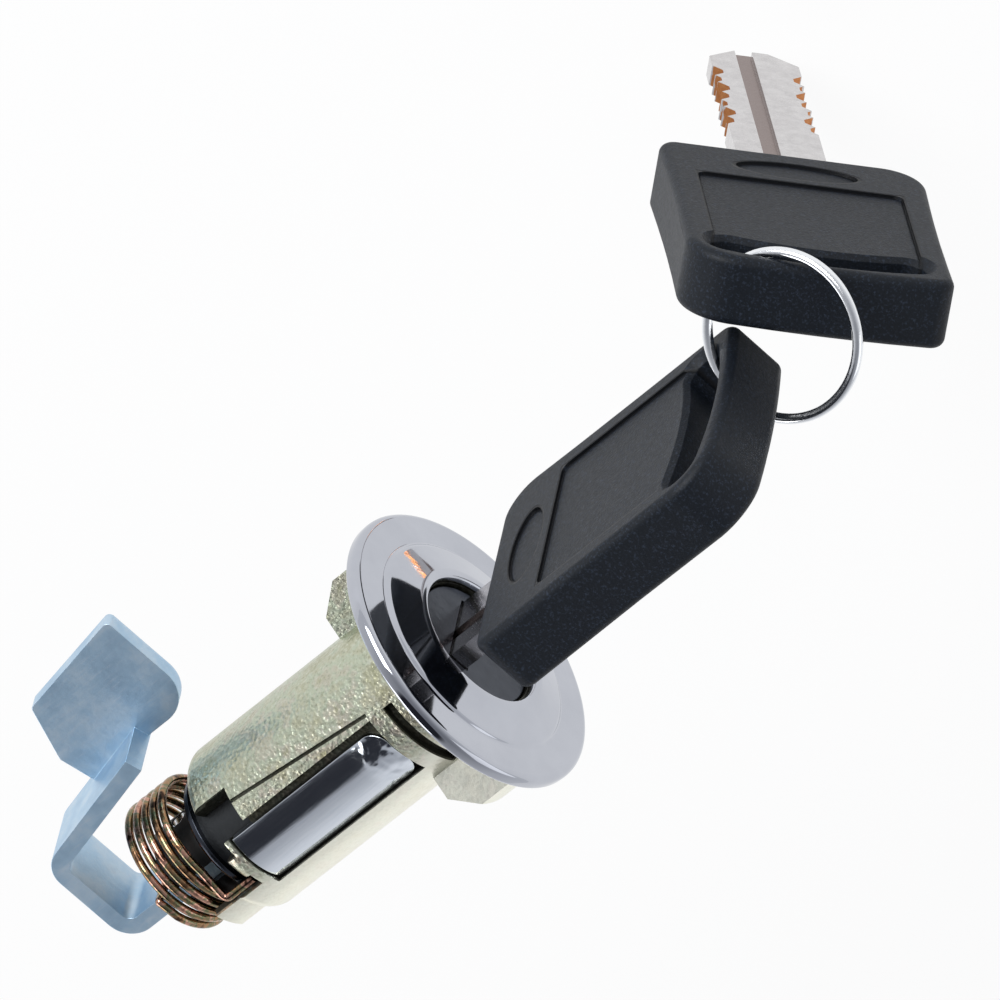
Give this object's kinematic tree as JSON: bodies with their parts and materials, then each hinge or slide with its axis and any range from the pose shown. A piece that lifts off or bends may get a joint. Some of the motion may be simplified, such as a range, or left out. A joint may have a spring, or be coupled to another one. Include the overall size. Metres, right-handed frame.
{
  "type": "trunk lock cylinder",
  "caption": "Lock cylinder with a chrome bezel, key-turned plug, return spring and bent lever, one key in the lock and a spare on a ring.",
  "frame": {"origin": "centre of the bezel's rear face, on the lock axis, where the bezel seats on the body panel", "axes": "+Y along the lock axis towards the lever, keys towards -Y; +Z through the cover strip; +X towards the lever's wing"},
  "size_m": [0.0415, 0.1098, 0.0947],
  "materials": {
    "zinc_die_casting": "yellow-green chromate on grainy die-cast zinc",
    "chrome": "polished chrome",
    "bright_steel": "bright rolled steel",
    "zinc_grey": "plain die-cast zinc",
    "spring_wire": "coppery iridescent wire",
    "blue_zinc": "blue zinc plating, satin",
    "nickel": "nickel plating, brass showing in the cuts",
    "black_plastic": "fine grain moulded plastic",
    "ring_wire": "nickel-plated wire",
    "brass": "stamped brass"
  },
  "bodies": {
    "housing": {"housing": "zinc_die_casting", "bezel": "chrome", "cover_strip": "bright_steel", "torsion_spring": "spring_wire"},
    "plug": {"plug": "zinc_grey", "plug_cap": "chrome", "retaining_washer": "bright_steel", "circlip": "spring_wire", "lever": "blue_zinc", "lever_pin": "bright_steel", "wafer_springs": "spring_wire"},
    "key": {"key_blade": "nickel", "key_head": "black_plastic"},
    "ring": {"key_ring": "ring_wire"},
    "spare_key": {"spare_key_blade": "nickel", "spare_key_head": "black_plastic"},
    "wafer_1": {"wafer_1": "brass"},
    "wafer_2": {"wafer_2": "brass"},
    "wafer_3": {"wafer_3": "brass"},
    "wafer_4": {"wafer_4": "brass"},
    "wafer_5": {"wafer_5": "brass"},
    "wafer_6": {"wafer_6": "brass"},
    "wafer_7": {"wafer_7": "brass"}
  },
  "joints": [
    {"name": "plug_turn", "type": "hinge", "parent": "housing", "child": "plug", "pos_m": [0, 0, 0], "axis": [0, 1, 0], "range_deg": [0, 80], "stiffness_Nm_per_rad": 0.04, "deforming": ["torsion_spring"]},
    {"name": "key_slide", "type": "slide", "parent": "plug", "child": "key", "axis": [0, -1, 0], "range_m": [0, 0.0323]},
    {"name": "ring_turn_in_slot", "type": "hinge", "parent": "key", "child": "ring", "pos_m": [0.00224, -0.04686, -0.00865], "axis": [0.49, 0.0267, 0.8713], "range_deg": [-20, 10]},
    {"name": "spare_key_slide_round_ring", "type": "hinge", "parent": "ring", "child": "spare_key", "pos_m": [0.00224, -0.04686, -0.00865], "axis": [0.49, 0.0267, 0.8713], "range_deg": [-40, 10]},
    {"name": "wafer_1_slide", "type": "slide", "parent": "plug", "child": "wafer_1", "axis": [0, 0, -1], "range_m": [-0.0006, 0], "stiffness_N_per_m": 150, "deforming": ["wafer_springs"]},
    {"name": "wafer_2_slide", "type": "slide", "parent": "plug", "child": "wafer_2", "axis": [0, 0, 1], "range_m": [-0.0006, 0], "stiffness_N_per_m": 150, "deforming": ["wafer_springs"]},
    {"name": "wafer_3_slide", "type": "slide", "parent": "plug", "child": "wafer_3", "axis": [0, 0, -1], "range_m": [-0.0006, 0], "stiffness_N_per_m": 150, "deforming": ["wafer_springs"]},
    {"name": "wafer_4_slide", "type": "slide", "parent": "plug", "child": "wafer_4", "axis": [0, 0, 1], "range_m": [-0.0006, 0], "stiffness_N_per_m": 150, "deforming": ["wafer_springs"]},
    {"name": "wafer_5_slide", "type": "slide", "parent": "plug", "child": "wafer_5", "axis": [0, 0, -1], "range_m": [-0.0006, 0], "stiffness_N_per_m": 150, "deforming": ["wafer_springs"]},
    {"name": "wafer_6_slide", "type": "slide", "parent": "plug", "child": "wafer_6", "axis": [0, 0, 1], "range_m": [-0.0006, 0], "stiffness_N_per_m": 150, "deforming": ["wafer_springs"]},
    {"name": "wafer_7_slide", "type": "slide", "parent": "plug", "child": "wafer_7", "axis": [0, 0, -1], "range_m": [-0.0006, 0], "stiffness_N_per_m": 150, "deforming": ["wafer_springs"]}
  ]
}
